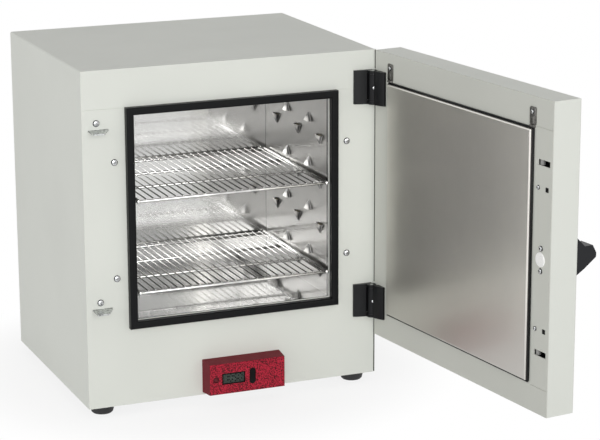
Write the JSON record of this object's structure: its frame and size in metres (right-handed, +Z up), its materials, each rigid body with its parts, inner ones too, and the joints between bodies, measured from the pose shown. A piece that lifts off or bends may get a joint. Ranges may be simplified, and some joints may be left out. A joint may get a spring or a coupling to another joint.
{
  "type": "laboratory oven",
  "caption": "Bench laboratory drying oven: sheet-steel cabinet, stainless chamber with sliding wire shelves, insulated side-hinged door, roller catches and a small controller.",
  "frame": {"origin": "On the bench, under the centre of the cabinet's casing (feet stand on z = 0).", "axes": "+Z up; -Y out of the front, where the door and chamber mouth are; +X to the right seen from the front, the hinge side."},
  "size_m": [0.5811, 0.8071, 0.508],
  "materials": {
    "casing_paint": "off-white textured powder coat",
    "door_frame_paint": "warm grey powder coat",
    "chamber_steel": "bright annealed stainless sheet",
    "shelf_wire": "electropolished wire",
    "zinc_steel": "zinc-plated sheet",
    "screw_steel": "bright plated",
    "hinge_black": "satin black",
    "gasket_rubber": "black silicone",
    "handle_plastic": "black moulding",
    "controller_plastic": "red fine-textured moulding",
    "window_clear": "clear window",
    "display": "grey-green liquid crystal",
    "board": "green laminate",
    "lamp_red": "translucent red",
    "black_plastic": "black moulding",
    "brass_pins": "plated brass",
    "heater_sheath": "oxidised steel sheath",
    "mineral_wool": "mineral fibre",
    "white_nylon": "white nylon"
  },
  "bodies": {
    "cabinet": {"outer_shell": "casing_paint", "front_frame": "casing_paint", "rear_panel": "casing_paint", "base_tray": "zinc_steel", "feet": "gasket_rubber", "foot_screws": "screw_steel", "rear_screws": "screw_steel", "chamber_wrap": "chamber_steel", "chamber_side_left": "chamber_steel", "chamber_side_right": "chamber_steel", "insulation_jacket": "mineral_wool", "door_gasket": "gasket_rubber", "chamber_screws": "screw_steel", "striker_upper": "zinc_steel", "striker_lower": "zinc_steel", "striker_screws": "screw_steel", "hinge_leaf_upper_fixed": "hinge_black", "hinge_leaf_lower_fixed": "hinge_black", "hinge_pins": "screw_steel", "hinge_screws_fixed": "hinge_black", "controller_housing": "controller_plastic", "display_window": "window_clear", "display_module": "display", "control_board": "board", "indicator_lamp": "lamp_red", "controller_screws": "screw_steel", "heater_tray": "zinc_steel", "heater_element": "heater_sheath", "thermal_cutout": "screw_steel", "temperature_probe": "screw_steel", "relay_board": "board", "power_relay": "black_plastic", "terminal_block": "black_plastic", "mains_inlet": "black_plastic", "inlet_pins": "brass_pins"},
    "door": {"door_skin": "casing_paint", "door_inner_frame": "door_frame_paint", "door_insulation": "mineral_wool", "door_panel": "chamber_steel", "panel_seal": "gasket_rubber", "panel_clips": "zinc_steel", "clip_screws": "screw_steel", "door_handle": "handle_plastic", "handle_plug": "white_nylon", "handle_screws": "screw_steel", "catch_body_upper": "zinc_steel", "catch_body_lower": "zinc_steel", "catch_spring_upper": "zinc_steel", "catch_spring_lower": "zinc_steel", "catch_screws": "screw_steel", "hinge_leaf_upper_door": "hinge_black", "hinge_leaf_lower_door": "hinge_black", "hinge_screws_door": "hinge_black"},
    "catch_slide_upper": {"catch_slide_upper": "white_nylon"},
    "catch_slide_lower": {"catch_slide_lower": "white_nylon"},
    "catch_roller_upper": {"catch_roller_upper": "white_nylon"},
    "catch_roller_lower": {"catch_roller_lower": "white_nylon"},
    "shelf_upper": {"shelf_upper": "shelf_wire"},
    "shelf_lower": {"shelf_lower": "shelf_wire"},
    "set_rocker": {"set_rocker": "handle_plastic"}
  },
  "joints": [
    {"name": "door_hinge", "type": "hinge", "parent": "cabinet", "child": "door", "pos_m": [0.2154, -0.1908, 0.292], "axis": [0, 0, 1], "range_deg": [-97, 15]},
    {"name": "shelf_upper_slide", "type": "slide", "parent": "cabinet", "child": "shelf_upper", "axis": [0, -1, 0], "range_m": [0, 0.15]},
    {"name": "shelf_lower_slide", "type": "slide", "parent": "cabinet", "child": "shelf_lower", "axis": [0, -1, 0], "range_m": [0, 0.15]},
    {"name": "set_rocker_tilt", "type": "hinge", "parent": "cabinet", "child": "set_rocker", "pos_m": [0.0168, -0.2044, 0.043], "axis": [1, 0, 0], "range_deg": [-4, 4], "stiffness_Nm_per_rad": 0.05},
    {"name": "catch_upper_slide", "type": "slide", "parent": "door", "child": "catch_slide_upper", "axis": [-0.1219, 0.9925, 0], "range_m": [0, 0.003], "stiffness_N_per_m": 1500, "deforming": ["catch_spring_upper"]},
    {"name": "catch_lower_slide", "type": "slide", "parent": "door", "child": "catch_slide_lower", "axis": [-0.1219, 0.9925, 0], "range_m": [0, 0.003], "stiffness_N_per_m": 1500, "deforming": ["catch_spring_lower"]},
    {"name": "catch_roller_upper_spin", "type": "hinge", "parent": "catch_slide_upper", "child": "catch_roller_upper", "pos_m": [0.27783, -0.59502, 0.4225], "axis": [0, 0, 1], "continuous": true},
    {"name": "catch_roller_lower_spin", "type": "hinge", "parent": "catch_slide_lower", "child": "catch_roller_lower", "pos_m": [0.27783, -0.59502, 0.1615], "axis": [0, 0, 1], "continuous": true}
  ]
}
